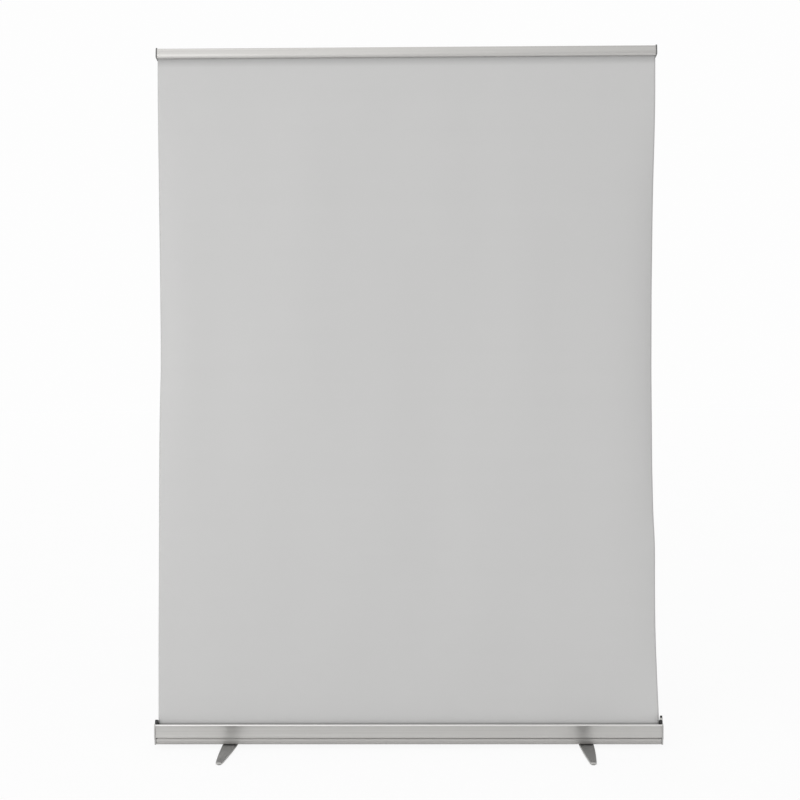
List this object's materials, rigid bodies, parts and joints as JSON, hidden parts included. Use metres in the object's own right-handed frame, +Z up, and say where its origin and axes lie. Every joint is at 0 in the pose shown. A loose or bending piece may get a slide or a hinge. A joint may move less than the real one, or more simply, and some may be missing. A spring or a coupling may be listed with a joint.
{
  "type": "roll-up banner stand",
  "caption": "Wide retractable banner stand: a low cassette with a sprung roller, swivel feet, telescopic rear poles and a hinged clamp rail holding a blank grey graphic.",
  "frame": {"origin": "on the floor, under the middle of the two feet (centre of the bounding box's bottom)", "axes": "+X to the right seen from the front, along the cassette; -Y is the front, where the graphic is read; +Z up"},
  "size_m": [1.519, 0.3702, 2.1055],
  "materials": {
    "anodised_aluminium": "satin anodised, fine lengthwise extrusion lines",
    "pole_aluminium": "satin drawn tube",
    "painted_end_plate": "satin silver-grey paint",
    "foot_paint": "satin dark silver powder coat",
    "black_nylon": "moulded, fine texture",
    "grey_nylon": "moulded, satin",
    "white_acetal": "moulded, satin",
    "zinc_steel": "bright zinc plate",
    "roller_steel": "galvanised tube",
    "rubber": "matte",
    "graphic_film": "matte light-grey film, front face",
    "film_back": "matte grey back of the film"
  },
  "bodies": {
    "stand": {"cassette_profile": "anodised_aluminium", "cassette_end_plate_left": "painted_end_plate", "cassette_end_plate_right": "painted_end_plate", "bearing_plate_left": "black_nylon", "bearing_plate_right": "black_nylon", "end_plate_screw_left_1": "zinc_steel", "end_plate_screw_left_2": "zinc_steel", "end_plate_screw_left_3": "zinc_steel", "end_plate_screw_right_1": "zinc_steel", "end_plate_screw_right_2": "zinc_steel", "end_plate_screw_right_3": "zinc_steel", "pole_socket_left": "black_nylon", "pole_socket_right": "black_nylon", "foot_bolt_left": "zinc_steel", "foot_bolt_right": "zinc_steel", "foot_nut_left": "zinc_steel", "foot_nut_right": "zinc_steel", "foot_washer_left": "black_nylon", "foot_washer_right": "black_nylon", "pole_foot_plug_left": "black_nylon", "pole_foot_plug_right": "black_nylon", "pole_lower_left": "pole_aluminium", "pole_lower_right": "pole_aluminium", "roller_axle": "zinc_steel", "spring_shaft": "zinc_steel", "spring_anchor": "white_acetal", "torsion_spring": "zinc_steel", "graphic": "graphic_film"},
    "foot_left": {"foot_left": "foot_paint", "foot_pad_left_front": "rubber", "foot_pad_left_rear": "rubber"},
    "foot_right": {"foot_right": "foot_paint", "foot_pad_right_front": "rubber", "foot_pad_right_rear": "rubber"},
    "roller": {"roller_tube": "roller_steel", "graphic_roll": "film_back", "roller_plug_left": "white_acetal", "roller_plug_right": "white_acetal"},
    "locking_pin": {"locking_pin": "zinc_steel", "locking_pin_cap": "black_nylon"},
    "pole_middle_left": {"pole_middle_left": "pole_aluminium", "pole_middle_bush_left": "black_nylon"},
    "pole_middle_right": {"pole_middle_right": "pole_aluminium", "pole_middle_bush_right": "black_nylon"},
    "lower_collar_left": {"pole_lower_collar_left": "black_nylon"},
    "lower_collar_right": {"pole_lower_collar_right": "black_nylon"},
    "upper_collar_left": {"pole_upper_collar_left": "black_nylon"},
    "upper_collar_right": {"pole_upper_collar_right": "black_nylon"},
    "rail": {"rail_body": "anodised_aluminium", "rail_cap_left": "grey_nylon", "rail_cap_right": "grey_nylon", "pole_upper_left": "pole_aluminium", "pole_upper_right": "pole_aluminium", "pole_upper_bush_left": "black_nylon", "pole_upper_bush_right": "black_nylon", "pole_head_left": "black_nylon", "pole_head_right": "black_nylon"},
    "rail_jaw": {"rail_jaw": "anodised_aluminium"}
  },
  "joints": [
    {"name": "foot_left_swivel", "type": "hinge", "parent": "stand", "child": "foot_left", "pos_m": [-0.535, 0, 0.0057], "axis": [0, 0, 1], "range_deg": [0, 92]},
    {"name": "foot_right_swivel", "type": "hinge", "parent": "stand", "child": "foot_right", "pos_m": [0.535, 0, 0.0057], "axis": [0, 0, 1], "range_deg": [-88, 2]},
    {"name": "rail_travel", "type": "slide", "parent": "stand", "child": "rail", "axis": [0, 0, 1], "range_m": [-1.15, 0], "deforming": ["graphic"]},
    {"name": "pole_left_middle_slide", "type": "slide", "parent": "stand", "child": "pole_middle_left", "axis": [0, 0, 1], "range_m": [-0.575, 0]},
    {"name": "pole_right_middle_slide", "type": "slide", "parent": "stand", "child": "pole_middle_right", "axis": [0, 0, 1], "range_m": [-0.575, 0]},
    {"name": "roller_spin", "type": "hinge", "parent": "stand", "child": "roller", "pos_m": [0, -0.01, 0.042], "axis": [1, 0, 0], "continuous": true},
    {"name": "lower_collar_left_twist", "type": "hinge", "parent": "stand", "child": "lower_collar_left", "pos_m": [-0.35, 0.0265, 0.776], "axis": [0, 0, 1], "range_deg": [0, 90]},
    {"name": "upper_collar_left_twist", "type": "hinge", "parent": "pole_middle_left", "child": "upper_collar_left", "pos_m": [-0.35, 0.0265, 1.4234], "axis": [0, 0, 1], "range_deg": [0, 90]},
    {"name": "lower_collar_right_twist", "type": "hinge", "parent": "stand", "child": "lower_collar_right", "pos_m": [0.35, 0.0265, 0.776], "axis": [0, 0, 1], "range_deg": [0, 90]},
    {"name": "upper_collar_right_twist", "type": "hinge", "parent": "pole_middle_right", "child": "upper_collar_right", "pos_m": [0.35, 0.0265, 1.4234], "axis": [0, 0, 1], "range_deg": [0, 90]},
    {"name": "rail_jaw_open", "type": "hinge", "parent": "rail", "child": "rail_jaw", "pos_m": [0, 0.0008, 2.0997], "axis": [-1, 0, 0], "range_deg": [0, 60]},
    {"name": "locking_pin_pull", "type": "slide", "parent": "stand", "child": "locking_pin", "axis": [0, 0, 1], "range_m": [0, 0.01]}
  ],
  "couplings": [
    {"joint": "pole_left_middle_slide", "follows": "rail_travel", "ratio": 0.5},
    {"joint": "pole_right_middle_slide", "follows": "rail_travel", "ratio": 0.5},
    {"joint": "roller_spin", "follows": "rail_travel", "rad_per_m": -48.193}
  ]
}
